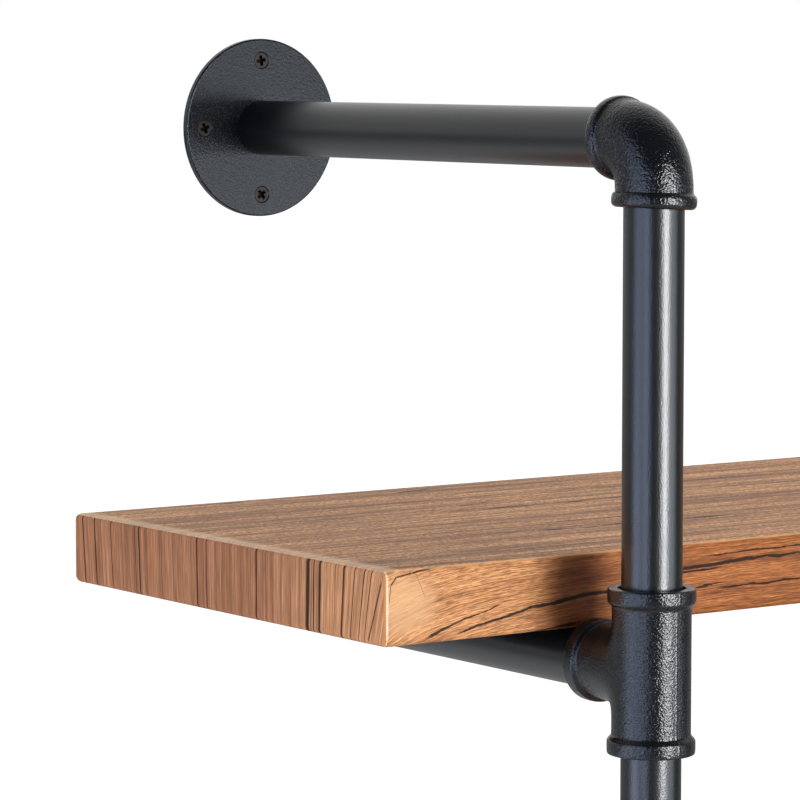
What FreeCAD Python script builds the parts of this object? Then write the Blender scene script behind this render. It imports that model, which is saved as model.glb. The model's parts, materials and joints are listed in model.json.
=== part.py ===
"""Wall-hung pipe shelving unit: two pipe frames that carry three shelves.

Millimetres, +Z up, +X along the shelves to the right, +Y towards the wall.
The wall plane is y = 0. The origin lies on it, midway between the four wall flanges.
"""
import FreeCAD, Part
import os
import re

import Sketcher
from FreeCAD import Rotation, Vector

doc = FreeCAD.newDocument("pipe_shelving_unit")

# Driving dimensions: alias, value, meaning
SIZES = [
    ("overrun", 1.0, "extra length of a cut past the face it leaves"),
    ("fit_gap", 0.1, "radial gap of a tube, plug or screw in its seat"),
    ("seat_gap", 0.05, "gap between a screw head and its seat"),
    ("tube_diameter", 25.4, "outside diameter of every tube"),
    ("tube_wall", 2.0, "wall of every tube"),
    ("frame_spacing", 812.0, "between the axes of the left and right frames"),
    ("wall_distance", 297.0, "from the wall to the axes of the uprights"),
    ("top_drop", 220.0, "from the top arms down to the upper shelf arms"),
    ("shelf_pitch", 330.0, "between one shelf and the next"),
    ("socket_depth", 13.0, "how far a tube enters a fitting"),
    ("mouth_diameter", 28.4, "relief at the mouth of a fitting, wider than the tube"),
    ("mouth_depth", 3.0, "depth of that relief"),
    ("elbow_arm_reach", 25.5, "centre of an elbow to the mouth of its arm"),
    ("elbow_upright_reach", 28.5, "centre of an elbow to the mouth of its upright"),
    ("elbow_bend_radius", 20.0, "bend of the elbow's centre line"),
    ("elbow_diameter", 32.4, "body of an elbow"),
    ("elbow_bead_diameter", 35.4, "rounded bead round each mouth of an elbow"),
    ("elbow_bead_height", 6.2, "length of the bead along the tube"),
    ("elbow_bead_round", 2.4, "rounding of the bead at the mouth"),
    ("elbow_back_round", 0.9, "rounding of the bead towards the body"),
    ("tee_run_reach", 34.8, "centre of a tee to its upper and lower mouths"),
    ("tee_branch_reach", 38.0, "centre of a tee to its branch mouth"),
    ("tee_run_diameter", 33.2, "body of a tee, up and down"),
    ("tee_branch_diameter", 32.0, "body of a tee, towards the wall"),
    ("tee_run_band_diameter", 37.0, "band round the upper and lower mouths"),
    ("tee_branch_band_diameter", 35.4, "band round the branch mouth"),
    ("tee_band_height", 6.0, "straight part of the band"),
    ("tee_band_round", 0.7, "rounding of the band's rims"),
    ("tee_crotch_round", 4.5, "rounding between branch and run"),
    ("flange_diameter", 83.4, "wall flange"),
    ("flange_thickness", 3.0, "wall flange"),
    ("flange_edge_round", 0.8, "rounding of the flange's front rim"),
    ("wall_screw_circle", 63.0, "circle of the wall screws"),
    ("wall_screw_head", 7.5, "countersunk head of a wall screw"),
    ("wall_screw_neck", 4.4, "plain neck of a wall screw, through the flange"),
    ("wall_screw_neck_stop", 0.2, "the neck ends this far short of the wall"),
    ("wall_screw_shank", 4.0, "threaded shank of a wall screw"),
    ("wall_screw_length", 16.0, "head to tip"),
    ("wall_screw_tip", 4.0, "tapered tip of a wall screw"),
    ("wall_screw_hole", 4.6, "clearance hole in the flange"),
    ("hole_relief_diameter", 6.6, "shallow relief round that hole at the flange's back"),
    ("hole_relief_depth", 0.5, "depth of that relief"),
    ("countersink_diameter", 8.3, "countersink at the flange's front"),
    ("recess_width", 0.9, "arms of a cross recess"),
    ("recess_span", 4.0, "tip to tip across a cross recess"),
    ("recess_depth", 1.2, "depth of a cross recess"),
    ("flange_bolt_shank", 5.0, "machine screw that holds a flange to its arm"),
    ("flange_bolt_head", 9.2, "its countersunk head, flush with the flange's back"),
    ("flange_bolt_length", 17.0, "head to tip"),
    ("insert_length", 18.0, "threaded insert in the wall end of an arm"),
    ("plug_length", 12.0, "end plug, inside the tube"),
    ("plug_cap", 3.0, "cap of the end plug"),
    ("plug_wall", 1.6, "wall of the end plug"),
    ("plug_round", 1.4, "rounding of the cap"),
    ("arm_wall_gap", 26.0, "from the end plug of a shelf arm to the wall"),
    ("shelf_overhang", 104.0, "from the axis of an upright to the shelf's end"),
    ("shelf_tee_gap", 5.5, "between a shelf's front and the branch mouth of a tee"),
    ("shelf_thickness", 31.8, "board with its foil"),
    ("shelf_round", 2.5, "rounding of the board's edges"),
    ("shelf_flange_gap", 0.5, "between a shelf's back and the front of the wall flanges"),
    ("shelf_screw_setback", 52.0, "screws from the shelf's front and back"),
    ("shelf_screw_head", 7.0, "pan head of a shelf screw"),
    ("shelf_screw_head_height", 2.4, "pan head of a shelf screw"),
    ("shelf_screw_shank", 4.0, "shank of a shelf screw"),
    ("shelf_screw_length", 20.0, "under the head"),
    ("shelf_screw_tip", 4.0, "tapered tip of a shelf screw"),
    ("shelf_screw_hole", 4.6, "clearance hole in the top of an arm"),
    ("access_hole", 8.0, "hole in the underside of an arm, for the screw's head"),
    ("pilot_spare", 1.0, "pilot hole past the tip of the screw"),
]

# Sizes that follow from the driving dimensions
DERIVED = [
    ("tube_radius", "tube_diameter / 2"),
    ("bore_radius", "tube_radius - tube_wall"),
    ("socket_radius", "tube_radius + fit_gap"),
    ("mouth_radius", "mouth_diameter / 2"),
    ("insert_radius", "bore_radius - fit_gap"),
    ("half_spacing", "frame_spacing / 2"),
    ("half_height", "top_drop / 2 + shelf_pitch"),
    ("upper_z", "half_height - top_drop"),
    ("lower_z", "upper_z - shelf_pitch"),
    ("elbow_radius", "elbow_diameter / 2"),
    ("elbow_bead_radius", "elbow_bead_diameter / 2"),
    ("elbow_arm_seat", "elbow_arm_reach - socket_depth"),
    ("elbow_arm_neck", "elbow_arm_reach - elbow_bead_height"),
    ("elbow_upright_seat", "elbow_upright_reach - socket_depth"),
    ("elbow_upright_neck", "elbow_upright_reach - elbow_bead_height"),
    ("tee_run_radius", "tee_run_diameter / 2"),
    ("tee_branch_radius", "tee_branch_diameter / 2"),
    ("tee_run_band_radius", "tee_run_band_diameter / 2"),
    ("tee_branch_band_radius", "tee_branch_band_diameter / 2"),
    ("tee_run_seat", "tee_run_reach - socket_depth"),
    ("tee_run_band", "tee_run_reach - tee_band_height"),
    ("tee_run_neck", "tee_run_band - tee_run_band_radius + tee_run_radius"),
    ("tee_branch_seat", "tee_branch_reach - socket_depth"),
    ("tee_branch_band", "tee_branch_reach - tee_band_height"),
    ("tee_branch_neck", "tee_branch_band - tee_branch_band_radius + tee_branch_radius"),
    ("plug_end", "arm_wall_gap + plug_cap"),
    ("flange_radius", "flange_diameter / 2"),
    ("screw_circle_radius", "wall_screw_circle / 2"),
    ("screw_radius", "wall_screw_shank / 2"),
    ("screw_head_radius", "wall_screw_head / 2"),
    ("screw_neck_radius", "wall_screw_neck / 2"),
    ("screw_hole_radius", "wall_screw_hole / 2"),
    ("hole_relief_radius", "hole_relief_diameter / 2"),
    ("countersink_radius", "countersink_diameter / 2"),
    ("countersink_floor", "flange_thickness - countersink_radius + screw_hole_radius"),
    ("screw_top", "flange_thickness - countersink_radius + screw_head_radius + seat_gap"),
    ("screw_cone_end", "screw_top - screw_head_radius + screw_neck_radius"),
    ("screw_tip_end", "screw_top - wall_screw_length"),
    ("half_recess_width", "recess_width / 2"),
    ("half_recess_span", "recess_span / 2"),
    ("bolt_radius", "flange_bolt_shank / 2"),
    ("bolt_head_radius", "flange_bolt_head / 2"),
    ("bolt_hole_radius", "bolt_radius + fit_gap"),
    ("insert_end", "flange_thickness + insert_length"),
    ("half_shelf_length", "half_spacing + shelf_overhang"),
    ("shelf_back", "flange_thickness + shelf_flange_gap"),
    ("shelf_depth", "wall_distance - tee_branch_reach - shelf_tee_gap - shelf_back"),
    ("front_screw", "shelf_depth - shelf_screw_setback"),
    ("shelf_screw_radius", "shelf_screw_shank / 2"),
    ("shelf_head_radius", "shelf_screw_head / 2"),
    ("shelf_head_top", "sqrt(bore_radius ^ 2 - shelf_head_radius ^ 2) - tube_radius - seat_gap"),
    ("shelf_head_base", "shelf_head_top - shelf_screw_head_height"),
    ("shelf_tip_end", "shelf_head_top + shelf_screw_length"),
    ("shelf_tip_start", "shelf_tip_end - shelf_screw_tip"),
]

sheet = doc.addObject("Spreadsheet::Sheet", "Sizes")
for row, (alias, value, meaning) in enumerate(SIZES, start=1):
    sheet.set(f"A{row}", alias)
    sheet.set(f"B{row}", str(value))
    sheet.set(f"C{row}", meaning)
    sheet.setAlias(f"B{row}", alias)
for row, (alias, formula) in enumerate(DERIVED, start=1):
    sheet.set(f"E{row}", alias)
    sheet.set(f"F{row}", "=" + formula)
    sheet.setAlias(f"F{row}", alias)
doc.recompute()

ALIASES = {entry[0] for entry in SIZES + DERIVED}
X, Y, Z = Vector(1, 0, 0), Vector(0, 1, 0), Vector(0, 0, 1)
UPRIGHT = Rotation()
TO_WALL = Rotation(X, -90)
FROM_WALL = Rotation(X, 90)
UPSIDE_DOWN = Rotation(Y, 180)
FULL_TURN = 360.0
SCREWS_PER_FLANGE = 4
FRAMES = 2
CROTCH_SAMPLES = 9

sub_parts = []


def bound(formula):
    """The formula with every size written as a cell of the sheet."""
    def cell(match):
        word = match.group()
        return "Sizes." + word if word in ALIASES else word
    return re.sub(r"[a-z_]+", cell, formula)


def number(formula):
    """What the formula comes to now."""
    return float(sheet.evalExpression(bound(formula)))


def new_body(label, place, turn=UPRIGHT):
    """An empty body whose own frame stands at that place of the unit."""
    body = doc.addObject("PartDesign::Body", label)
    body.Label = label
    body.AllowCompound = True
    body.Placement.Rotation = turn
    for axis, formula in zip("xyz", place):
        body.setExpression(f"Placement.Base.{axis}", bound(formula))
    sub_parts.append(body)
    return body


def origin_feature(body, role):
    """The body's own plane or axis with that role."""
    return next(item for item in body.Origin.OriginFeatures if item.Role == role)


def new_sketch(body, plane, name, aside="0", lift="0"):
    """A sketch on one of the body's planes, moved aside in it and lifted off it."""
    sketch = body.newObject("Sketcher::SketchObject", f"{body.Label}_{name}")
    sketch.AttachmentSupport = (origin_feature(body, plane), [""])
    sketch.MapMode = "FlatFace"
    sketch.setExpression("AttachmentOffset.Base.x", bound(aside))
    sketch.setExpression("AttachmentOffset.Base.z", bound(lift))
    return sketch


def bind_point(sketch, geometry, end, x, y):
    """Ties one point of the sketch to its two formulas."""
    for kind, axis, formula in (("DistanceX", -2, x), ("DistanceY", -1, y)):
        if formula == "0":
            sketch.addConstraint(Sketcher.Constraint("PointOnObject", geometry, end, axis))
        else:
            place = Sketcher.Constraint(kind, -1, 1, geometry, end, number(formula))
            index = sketch.addConstraint(place)
            sketch.setExpression(f"Constraints[{index}]", bound(formula))


def add_outline(sketch, corners):
    """A closed outline of straight lines through the corners."""
    points = [Vector(number(x), number(y), 0) for x, y in corners]
    first = sketch.GeometryCount
    for here, there in zip(points, points[1:] + points[:1]):
        sketch.addGeometry(Part.LineSegment(here, there))
    for step, (x, y) in enumerate(corners):
        following = first + (step + 1) % len(corners)
        sketch.addConstraint(Sketcher.Constraint("Coincident", first + step, 2, following, 1))
        bind_point(sketch, first + step, 1, x, y)
    return sketch


def add_circle(sketch, x, y, radius):
    """A circle bound to its centre and radius."""
    centre = Vector(number(x), number(y), 0)
    circle = sketch.addGeometry(Part.Circle(centre, Z, number(radius)))
    bind_point(sketch, circle, 3, x, y)
    index = sketch.addConstraint(Sketcher.Constraint("Radius", circle, number(radius)))
    sketch.setExpression(f"Constraints[{index}]", bound(radius))
    return sketch


def add_cross(sketch, x, y):
    """The outline of a cross recess about a point."""
    wide, narrow = "half_recess_span", "half_recess_width"
    quarter = [(wide, narrow), (narrow, narrow), (narrow, wide)]
    corners = []
    for side, height in ("++", "-+", "--", "+-"):
        for right, up in quarter if side == height else reversed(quarter):
            corners.append((f"{x} {side} {right}", f"{y} {height} {up}"))
    return add_outline(sketch, corners)


def extrude(body, kind, sketch, length, reverse=False):
    """A pad or pocket of that length."""
    feature = body.newObject("PartDesign::" + kind, f"{sketch.Name}_{kind}")
    feature.Profile = sketch
    feature.setExpression("Length", bound(length))
    feature.Reversed = reverse
    return feature


def turn_about(body, kind, sketch):
    """A full revolution or groove about the sketch's vertical axis."""
    feature = body.newObject("PartDesign::" + kind, f"{sketch.Name}_{kind}")
    feature.Profile = sketch
    feature.ReferenceAxis = (sketch, ["V_Axis"])
    feature.Angle = FULL_TURN
    return feature


def sweep(body, kind, sketch, spine):
    """The sketch swept along all edges of the spine."""
    feature = body.newObject("PartDesign::" + kind, f"{sketch.Name}_{kind}")
    feature.Profile = sketch
    feature.Spine = (spine, [f"Edge{step}" for step in range(1, spine.GeometryCount + 1)])
    return feature


def round_edges(body, name, radius, wanted):
    """Rounds the edges of the body so far that the test picks out."""
    doc.recompute()
    base = body.Tip
    edges = [f"Edge{index}" for index, edge in enumerate(base.Shape.Edges, start=1) if wanted(edge)]
    feature = body.newObject("PartDesign::Fillet", f"{body.Label}_{name}")
    feature.Base = (base, edges)
    feature.setExpression("Radius", bound(radius))
    return feature


def rim(axis, radius, *offsets):
    """A test for the circles of that radius about a local axis, at those offsets along it."""
    reach = number("fit_gap")
    size = number(radius)
    places = [number(offset) for offset in offsets]

    def wanted(edge):
        if not isinstance(edge.Curve, Part.Circle) or abs(edge.Curve.Radius - size) > reach:
            return False
        centre = edge.Curve.Center
        along = centre.dot(axis)
        aside = (centre - axis * along).Length
        return aside < reach and any(abs(along - place) < reach for place in places)
    return wanted


def tube(label, place, turn, length, screws=()):
    """A tube along its own Z, with shelf screw holes at the given places along it."""
    body = new_body(label, place, turn)
    ring = new_sketch(body, "XY_Plane", "ring")
    add_circle(ring, "0", "0", "tube_radius")
    add_circle(ring, "0", "0", "bore_radius")
    extrude(body, "Pad", ring, length)
    if screws:
        below = new_sketch(body, "XZ_Plane", "access_holes")
        above = new_sketch(body, "XZ_Plane", "screw_holes")
        for along in screws:
            add_circle(below, "0", along, "access_hole / 2")
            add_circle(above, "0", along, "shelf_screw_hole / 2")
        extrude(body, "Pocket", below, "tube_radius + overrun")
        extrude(body, "Pocket", above, "tube_radius + overrun", reverse=True)
    return body


def elbow(label, place, turn):
    """A cast elbow with its upright along -Z and its arm along +Y, a bead round each mouth."""
    body = new_body(label, place, turn)
    spine = new_sketch(body, "YZ_Plane", "centre_line")
    bend = number("elbow_bend_radius")
    inset = bend * (1 - 0.5 ** 0.5)
    foot = Vector(0, -number("elbow_upright_reach"), 0)
    head = Vector(number("elbow_arm_reach"), 0, 0)
    bend_foot, bend_head = Vector(0, -bend, 0), Vector(bend, 0, 0)
    spine.addGeometry(Part.LineSegment(foot, bend_foot))
    spine.addGeometry(Part.Arc(bend_foot, Vector(inset, -inset, 0), bend_head))
    spine.addGeometry(Part.LineSegment(bend_head, head))
    bind_point(spine, 0, 1, "0", "-elbow_upright_reach")
    bind_point(spine, 0, 2, "0", "-elbow_bend_radius")
    bind_point(spine, 2, 1, "elbow_bend_radius", "0")
    bind_point(spine, 2, 2, "elbow_arm_reach", "0")
    spine.addConstraint(Sketcher.Constraint("Coincident", 1, 1, 2, 1))
    spine.addConstraint(Sketcher.Constraint("Coincident", 1, 2, 0, 2))
    index = spine.addConstraint(Sketcher.Constraint("Radius", 1, bend))
    spine.setExpression(f"Constraints[{index}]", bound("elbow_bend_radius"))
    outside = new_sketch(body, "XY_Plane", "outside", lift="-elbow_upright_reach")
    sweep(body, "AdditivePipe", add_circle(outside, "0", "0", "elbow_radius"), spine)
    lower = [("0", "-elbow_upright_reach"), ("elbow_bead_radius", "-elbow_upright_reach"),
             ("elbow_bead_radius", "-elbow_upright_neck"), ("0", "-elbow_upright_neck")]
    turn_about(body, "Revolution", add_outline(new_sketch(body, "XZ_Plane", "upright_bead"), lower))
    back = [("0", "elbow_arm_neck"), ("elbow_bead_radius", "elbow_arm_neck"),
            ("elbow_bead_radius", "elbow_arm_reach"), ("0", "elbow_arm_reach")]
    turn_about(body, "Revolution", add_outline(new_sketch(body, "XY_Plane", "arm_bead"), back))
    upright_rim = rim(Z, "elbow_bead_radius", "-elbow_upright_reach")
    arm_rim = rim(Y, "elbow_bead_radius", "elbow_arm_reach")
    round_edges(body, "rims", "elbow_bead_round", lambda edge: upright_rim(edge) or arm_rim(edge))
    upright_neck = rim(Z, "elbow_bead_radius", "-elbow_upright_neck")
    arm_neck = rim(Y, "elbow_bead_radius", "elbow_arm_neck")
    round_edges(body, "necks", "elbow_back_round", lambda edge: upright_neck(edge) or arm_neck(edge))
    inside = new_sketch(body, "XY_Plane", "inside", lift="-elbow_upright_reach")
    sweep(body, "SubtractivePipe", add_circle(inside, "0", "0", "bore_radius"), spine)
    lower = [("0", "-elbow_upright_reach - overrun"), ("mouth_radius", "-elbow_upright_reach - overrun"),
             ("mouth_radius", "-elbow_upright_reach + mouth_depth"),
             ("socket_radius", "-elbow_upright_reach + mouth_depth"),
             ("socket_radius", "-elbow_upright_seat"), ("0", "-elbow_upright_seat")]
    turn_about(body, "Groove", add_outline(new_sketch(body, "XZ_Plane", "upright_socket"), lower))
    back = [("0", "elbow_arm_seat"), ("socket_radius", "elbow_arm_seat"),
            ("socket_radius", "elbow_arm_reach - mouth_depth"),
            ("mouth_radius", "elbow_arm_reach - mouth_depth"),
            ("mouth_radius", "elbow_arm_reach + overrun"), ("0", "elbow_arm_reach + overrun")]
    turn_about(body, "Groove", add_outline(new_sketch(body, "XY_Plane", "arm_socket"), back))
    return body


def tee(label, place):
    """A cast tee with its run along Z and its branch along +Y, a band round each mouth."""
    body = new_body(label, place)
    run = [("0", "tee_run_reach"), ("tee_run_band_radius", "tee_run_reach"),
           ("tee_run_band_radius", "tee_run_band"), ("tee_run_radius", "tee_run_neck"),
           ("tee_run_radius", "-tee_run_neck"), ("tee_run_band_radius", "-tee_run_band"),
           ("tee_run_band_radius", "-tee_run_reach"), ("0", "-tee_run_reach")]
    turn_about(body, "Revolution", add_outline(new_sketch(body, "XZ_Plane", "run"), run))
    branch = [("0", "0"), ("tee_branch_radius", "0"), ("tee_branch_radius", "tee_branch_neck"),
              ("tee_branch_band_radius", "tee_branch_band"), ("tee_branch_band_radius", "tee_branch_reach"),
              ("0", "tee_branch_reach")]
    turn_about(body, "Revolution", add_outline(new_sketch(body, "XY_Plane", "branch"), branch))
    round_edges(body, "crotch", "tee_crotch_round", crotch)
    run_rims = rim(Z, "tee_run_band_radius",
                   "tee_run_reach", "tee_run_band", "-tee_run_band", "-tee_run_reach")
    branch_rims = rim(Y, "tee_branch_band_radius", "tee_branch_band", "tee_branch_reach")
    round_edges(body, "rims", "tee_band_round", lambda edge: run_rims(edge) or branch_rims(edge))
    run = [("0", "tee_run_reach + overrun"), ("mouth_radius", "tee_run_reach + overrun"),
           ("mouth_radius", "tee_run_reach - mouth_depth"), ("socket_radius", "tee_run_reach - mouth_depth"),
           ("socket_radius", "tee_run_seat"), ("bore_radius", "tee_run_seat"),
           ("bore_radius", "-tee_run_seat"), ("socket_radius", "-tee_run_seat"),
           ("socket_radius", "-tee_run_reach + mouth_depth"),
           ("mouth_radius", "-tee_run_reach + mouth_depth"),
           ("mouth_radius", "-tee_run_reach - overrun"), ("0", "-tee_run_reach - overrun")]
    turn_about(body, "Groove", add_outline(new_sketch(body, "XZ_Plane", "run_sockets"), run))
    branch = [("0", "0"), ("bore_radius", "0"), ("bore_radius", "tee_branch_seat"),
              ("socket_radius", "tee_branch_seat"), ("socket_radius", "tee_branch_reach - mouth_depth"),
              ("mouth_radius", "tee_branch_reach - mouth_depth"),
              ("mouth_radius", "tee_branch_reach + overrun"), ("0", "tee_branch_reach + overrun")]
    turn_about(body, "Groove", add_outline(new_sketch(body, "XY_Plane", "branch_socket"), branch))
    return body


def crotch(edge):
    """True for the edge where a tee's branch meets its run."""
    def on_pipe(point, axis, radius):
        return abs((point - axis * point.dot(axis)).Length - number(radius)) < number("fit_gap")

    points = edge.discretize(Number=CROTCH_SAMPLES)
    on_run = all(on_pipe(point, Z, "tee_run_radius") for point in points)
    return on_run and all(on_pipe(point, Y, "tee_branch_radius") for point in points)


def wall_flange(label, x, z):
    """A round plate, flat on the wall: its own Z points into the room."""
    body = new_body(label, (x, "0", z), FROM_WALL)
    disc = add_circle(new_sketch(body, "XY_Plane", "disc"), "0", "0", "flange_radius")
    extrude(body, "Pad", disc, "flange_thickness")
    round_edges(body, "rim", "flange_edge_round", rim(Z, "flange_radius", "flange_thickness"))
    seat = [("0", "-overrun"), ("bolt_head_radius + overrun", "-overrun"),
            ("bolt_hole_radius", "bolt_head_radius - bolt_hole_radius"),
            ("bolt_hole_radius", "flange_thickness + overrun"), ("0", "flange_thickness + overrun")]
    turn_about(body, "Groove", add_outline(new_sketch(body, "XZ_Plane", "bolt_seat"), seat))
    hole = [("0", "-overrun"), ("hole_relief_radius", "-overrun"),
            ("hole_relief_radius", "hole_relief_depth"), ("screw_hole_radius", "hole_relief_depth"),
            ("screw_hole_radius", "countersink_floor"),
            ("countersink_radius + overrun", "flange_thickness + overrun"),
            ("0", "flange_thickness + overrun")]
    outline = add_outline(new_sketch(body, "XZ_Plane", "screw_hole", aside="screw_circle_radius"), hole)
    ring_of_four(body, [turn_about(body, "Groove", outline)])
    return body


def ring_of_four(body, features):
    """Repeats the features round the flange's axis, one for each wall screw."""
    pattern = body.newObject("PartDesign::PolarPattern", body.Label + "_ring_of_four")
    pattern.Originals = features
    pattern.Axis = (origin_feature(body, "Z_Axis"), [""])
    pattern.Angle = FULL_TURN
    pattern.Occurrences = SCREWS_PER_FLANGE
    body.Tip = pattern


def wall_screws(label, x, z):
    """Four countersunk screws in a flange, with their shanks standing out towards the wall."""
    body = new_body(label, (x, "0", z), FROM_WALL)
    shape = [("0", "screw_top"), ("screw_head_radius", "screw_top"),
             ("screw_neck_radius", "screw_cone_end"), ("screw_neck_radius", "wall_screw_neck_stop"),
             ("screw_radius", "wall_screw_neck_stop"),
             ("screw_radius", "screw_tip_end + wall_screw_tip"), ("0", "screw_tip_end")]
    outline = add_outline(new_sketch(body, "XZ_Plane", "shape", aside="screw_circle_radius"), shape)
    screw = turn_about(body, "Revolution", outline)
    cross = add_cross(new_sketch(body, "XY_Plane", "cross", lift="screw_top"), "screw_circle_radius", "0")
    ring_of_four(body, [screw, extrude(body, "Pocket", cross, "recess_depth")])
    return body


def flange_bolt(label, x, z):
    """The countersunk machine screw from the back of a flange into its arm."""
    body = new_body(label, (x, "0", z), FROM_WALL)
    shape = [("0", "0"), ("bolt_head_radius - seat_gap", "0"),
             ("bolt_radius", "bolt_head_radius - seat_gap - bolt_radius"),
             ("bolt_radius", "flange_bolt_length"), ("0", "flange_bolt_length")]
    turn_about(body, "Revolution", add_outline(new_sketch(body, "XZ_Plane", "shape"), shape))
    cross = add_cross(new_sketch(body, "XY_Plane", "cross"), "0", "0")
    extrude(body, "Pocket", cross, "recess_depth", reverse=True)
    return body


def arm_insert(label, x, z):
    """The threaded plug inside the wall end of an arm, which takes the flange bolt."""
    body = new_body(label, (x, "0", z), FROM_WALL)
    shape = [("bolt_hole_radius", "flange_thickness"), ("insert_radius", "flange_thickness"),
             ("insert_radius", "insert_end"), ("bolt_hole_radius", "insert_end")]
    turn_about(body, "Revolution", add_outline(new_sketch(body, "XZ_Plane", "shape"), shape))
    return body


def arm_plug(label, x, z):
    """The end plug of a shelf arm: a cap as wide as the tube on a hollow stem."""
    body = new_body(label, (x, "-plug_end", z), TO_WALL)
    shape = [("0", "plug_cap"), ("tube_radius", "plug_cap"), ("tube_radius", "0"), ("insert_radius", "0"),
             ("insert_radius", "-plug_length"), ("insert_radius - plug_wall", "-plug_length"),
             ("insert_radius - plug_wall", "0"), ("0", "0")]
    turn_about(body, "Revolution", add_outline(new_sketch(body, "XZ_Plane", "shape"), shape))
    round_edges(body, "rim", "plug_round", rim(Z, "tube_radius", "plug_cap"))
    return body


def shelf(label, z):
    """A thick board with rounded edges and blind pilot holes over the arms."""
    body = new_body(label, ("0", "-shelf_back", f"{z} + tube_radius"))
    outline = [("-half_shelf_length", "-shelf_depth"), ("half_shelf_length", "-shelf_depth"),
               ("half_shelf_length", "0"), ("-half_shelf_length", "0")]
    extrude(body, "Pad", add_outline(new_sketch(body, "XY_Plane", "board"), outline), "shelf_thickness")
    round_edges(body, "edges", "shelf_round", lambda edge: True)
    pilots = new_sketch(body, "XY_Plane", "pilots")
    for x in ("-half_spacing", "half_spacing"):
        for y in ("-front_screw", "-shelf_screw_setback"):
            add_circle(pilots, x, y, "shelf_screw_radius + fit_gap")
    extrude(body, "Pocket", pilots, "shelf_tip_end + pilot_spare", reverse=True)
    return body


def shelf_screws(label, z):
    """The pan-head screws that hold a shelf, their heads inside the arms."""
    body = new_body(label, ("0", "-shelf_back", f"{z} + tube_radius"))
    shape = [("0", "shelf_head_base"), ("shelf_head_radius", "shelf_head_base"),
             ("shelf_head_radius", "shelf_head_top"), ("shelf_screw_radius", "shelf_head_top"),
             ("shelf_screw_radius", "shelf_tip_start"), ("0", "shelf_tip_end")]
    features = []
    for name, setback in (("front", "front_screw"), ("rear", "shelf_screw_setback")):
        outline = new_sketch(body, "XZ_Plane", name, aside="-half_spacing", lift=setback)
        features.append(turn_about(body, "Revolution", add_outline(outline, shape)))
        cross = new_sketch(body, "XY_Plane", name + "_cross", lift="shelf_head_base")
        add_cross(cross, "-half_spacing", "-" + setback)
        features.append(extrude(body, "Pocket", cross, "recess_depth", reverse=True))
    pattern = body.newObject("PartDesign::LinearPattern", label + "_pair")
    pattern.Originals = features
    pattern.Direction = (origin_feature(body, "X_Axis"), [""])
    pattern.setExpression("Length", bound("frame_spacing"))
    pattern.Occurrences = FRAMES
    body.Tip = pattern
    return body


def wall_joint(name, x, z):
    """A wall flange with its screws, its bolt and the insert in the arm's end."""
    wall_flange(name + "_wall_flange", x, z)
    wall_screws(name + "_wall_screws", x, z)
    flange_bolt(name + "_flange_bolt", x, z)
    arm_insert(name + "_arm_insert", x, z)


def screw_places(seat):
    """The shelf screws along an arm, from its end in the fitting."""
    start = f"wall_distance - {seat} - shelf_back"
    return (f"{start} - front_screw", f"{start} - shelf_screw_setback")


def shelf_level(name, x, z):
    """A tee on the upright, with its shelf arm and the plug in the arm's free end."""
    tee(name + "_tee", (x, "-wall_distance", z))
    tube(name + "_shelf_arm", (x, "-wall_distance + tee_branch_seat", z), TO_WALL,
         "wall_distance - tee_branch_seat - plug_end", screw_places("tee_branch_seat"))
    arm_plug(name + "_arm_plug", x, z)


def pipe_frame(side, x):
    """One side of the unit, from the top wall flange down to the bottom one."""
    arm_length = "wall_distance - elbow_arm_seat - flange_thickness"
    arm_start = "-wall_distance + elbow_arm_seat"
    wall_joint(side + "_top", x, "half_height")
    tube(side + "_top_arm", (x, arm_start, "half_height"), TO_WALL, arm_length)
    elbow(side + "_top_elbow", (x, "-wall_distance", "half_height"), UPRIGHT)
    tube(side + "_upper_upright", (x, "-wall_distance", "upper_z + tee_run_seat"), UPRIGHT,
         "top_drop - elbow_upright_seat - tee_run_seat")
    shelf_level(side + "_upper", x, "upper_z")
    tube(side + "_middle_upright", (x, "-wall_distance", "lower_z + tee_run_seat"), UPRIGHT,
         "shelf_pitch - 2 * tee_run_seat")
    shelf_level(side + "_lower", x, "lower_z")
    tube(side + "_bottom_upright", (x, "-wall_distance", "-half_height + elbow_upright_seat"), UPRIGHT,
         "shelf_pitch - elbow_upright_seat - tee_run_seat")
    elbow(side + "_bottom_elbow", (x, "-wall_distance", "-half_height"), UPSIDE_DOWN)
    tube(side + "_bottom_arm", (x, arm_start, "-half_height"), TO_WALL, arm_length,
         screw_places("elbow_arm_seat"))
    wall_joint(side + "_bottom", x, "-half_height")


for side, x in (("left", "-half_spacing"), ("right", "half_spacing")):
    pipe_frame(side, x)
for level, z in (("upper", "upper_z"), ("lower", "lower_z"), ("bottom", "-half_height")):
    shelf(level + "_shelf", z)
    shelf_screws(level + "_shelf_screws", z)
doc.recompute()

# Nothing is written unless every object is sound and every cut has taken something away
for item in doc.Objects:
    if {"Invalid", "Error"} & set(item.State):
        raise RuntimeError(f"{item.Label} failed: {item.State}")
    if item.TypeId in ("PartDesign::Pocket", "PartDesign::Groove", "PartDesign::SubtractivePipe"):
        if item.Shape.Volume >= item.BaseFeature.Shape.Volume:
            raise RuntimeError(f"{item.Label} cuts nothing")
for body in sub_parts:
    if body.Shape.isNull() or not body.Shape.isValid():
        raise RuntimeError(f"{body.Label} has no sound shape")

os.makedirs("parts", exist_ok=True)
for body in sub_parts:
    body.Shape.exportStep(f"parts/{body.Label}.step")
    print(f"{body.Label}: {len(body.Shape.Solids)} solids, {body.Shape.Volume:.0f} mm3")
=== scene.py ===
# %% [markdown]
# # A wall-hung pipe shelving unit
# The solids of the unit are already made: tubes, elbows, tees, flanges, screws and boards, each in its
# place. This lesson dresses them. It sets up a camera and a small studio, mixes a finish for each
# material, and models again the pieces whose solids are too plain to be seen close up.

import json
import math

import bpy
from mathutils import Matrix, Vector


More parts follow.
